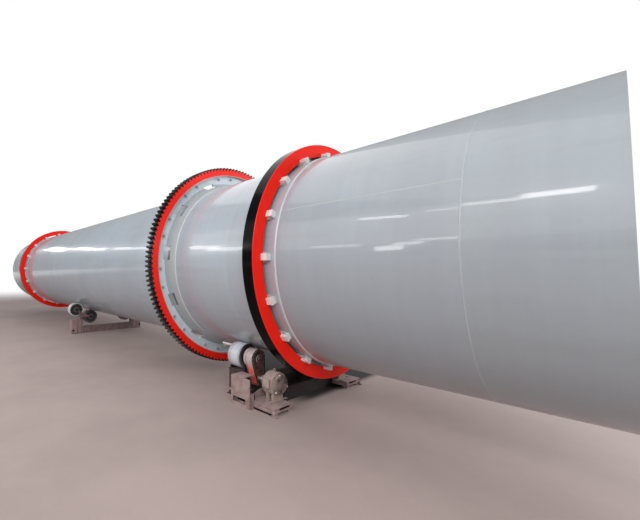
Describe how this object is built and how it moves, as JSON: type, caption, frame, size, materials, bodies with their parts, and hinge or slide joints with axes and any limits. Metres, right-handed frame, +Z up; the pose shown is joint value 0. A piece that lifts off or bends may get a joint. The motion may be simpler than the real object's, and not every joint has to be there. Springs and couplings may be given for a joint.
{
  "type": "rotary kiln",
  "caption": "Rotary kiln drum with riding tyres, a girth gear and open ends, lying on the rollers of low powered turning stands.",
  "frame": {"origin": "on the floor, midway along the drum and under its axis", "axes": "+X along the drum axis towards the open end near the girth gear, -Y towards the side seen in the picture, +Z up"},
  "size_m": [17.16, 3.212, 3.3957],
  "materials": {
    "shell": "gloss",
    "tyres": "satin",
    "pads": "matte",
    "blocks": "satin",
    "gear_rim": "satin",
    "gear_web": "satin",
    "skirt": "satin",
    "bolts": "satin",
    "treads": "satin",
    "wheels": "matte",
    "beams": "matte",
    "stands": "matte",
    "cheeks": "matte",
    "gear_cases": "satin",
    "motors": "matte",
    "benches": "matte",
    "pins": "satin"
  },
  "bodies": {
    "stands": {"near_cross_beam": "beams", "near_end_boxes": "stands", "near_pedestals": "stands", "roller_cheeks": "cheeks", "gear_cases": "gear_cases", "motors": "motors", "motor_shafts": "pins", "motor_benches": "benches", "bench_rail": "beams", "far_cross_beam": "beams", "far_pedestals": "stands", "bogie_plates": "cheeks", "bogie_pivots": "pins"},
    "drum": {"near_end_course": "shell", "near_long_course": "shell", "near_tyre_course": "shell", "gear_side_course": "shell", "mid_courses_odd": "shell", "mid_courses_even": "shell", "far_tyre_course": "shell", "far_long_course": "shell", "far_end_course": "shell", "near_tyre": "tyres", "far_tyre": "tyres", "tyre_pads": "pads", "tyre_blocks": "blocks", "gear_rim": "gear_rim", "gear_web": "gear_web", "gear_skirt": "skirt", "web_bolts": "bolts"},
    "near_front_roller": {"near_front_tread": "treads", "near_front_wheel": "wheels"},
    "near_back_roller": {"near_back_tread": "treads", "near_back_wheel": "wheels"},
    "far_front_outer_roller": {"far_front_outer_tread": "treads", "far_front_outer_wheel": "wheels"},
    "far_front_inner_roller": {"far_front_inner_tread": "treads", "far_front_inner_wheel": "wheels"},
    "far_back_outer_roller": {"far_back_outer_tread": "treads", "far_back_outer_wheel": "wheels"},
    "far_back_inner_roller": {"far_back_inner_tread": "treads", "far_back_inner_wheel": "wheels"}
  },
  "joints": [
    {"name": "drum_spin", "type": "hinge", "parent": "stands", "child": "drum", "pos_m": [0, 0, 1.78972], "axis": [1, 0, 0], "continuous": true},
    {"name": "near_front_roll", "type": "hinge", "parent": "stands", "child": "near_front_roller", "pos_m": [5.046, -0.69023, 0.529], "axis": [1, 0, 0], "continuous": true},
    {"name": "near_back_roll", "type": "hinge", "parent": "stands", "child": "near_back_roller", "pos_m": [5.046, 0.69023, 0.529], "axis": [1, 0, 0], "continuous": true},
    {"name": "far_front_outer_roll", "type": "hinge", "parent": "stands", "child": "far_front_outer_roller", "pos_m": [-1.475, -0.87826, 0.63684], "axis": [1, 0, 0], "continuous": true},
    {"name": "far_front_inner_roll", "type": "hinge", "parent": "stands", "child": "far_front_inner_roller", "pos_m": [-1.475, -0.49807, 0.42869], "axis": [1, 0, 0], "continuous": true},
    {"name": "far_back_outer_roll", "type": "hinge", "parent": "stands", "child": "far_back_outer_roller", "pos_m": [-1.475, 0.87826, 0.63684], "axis": [1, 0, 0], "continuous": true},
    {"name": "far_back_inner_roll", "type": "hinge", "parent": "stands", "child": "far_back_inner_roller", "pos_m": [-1.475, 0.49807, 0.42869], "axis": [1, 0, 0], "continuous": true}
  ],
  "couplings": [
    {"joint": "near_front_roll", "follows": "drum_spin", "ratio": -7.8704},
    {"joint": "near_back_roll", "follows": "drum_spin", "ratio": -7.8704},
    {"joint": "far_front_outer_roll", "follows": "drum_spin", "ratio": -7.3276},
    {"joint": "far_front_inner_roll", "follows": "drum_spin", "ratio": -7.3276},
    {"joint": "far_back_outer_roll", "follows": "drum_spin", "ratio": -7.3276},
    {"joint": "far_back_inner_roll", "follows": "drum_spin", "ratio": -7.3276}
  ]
}
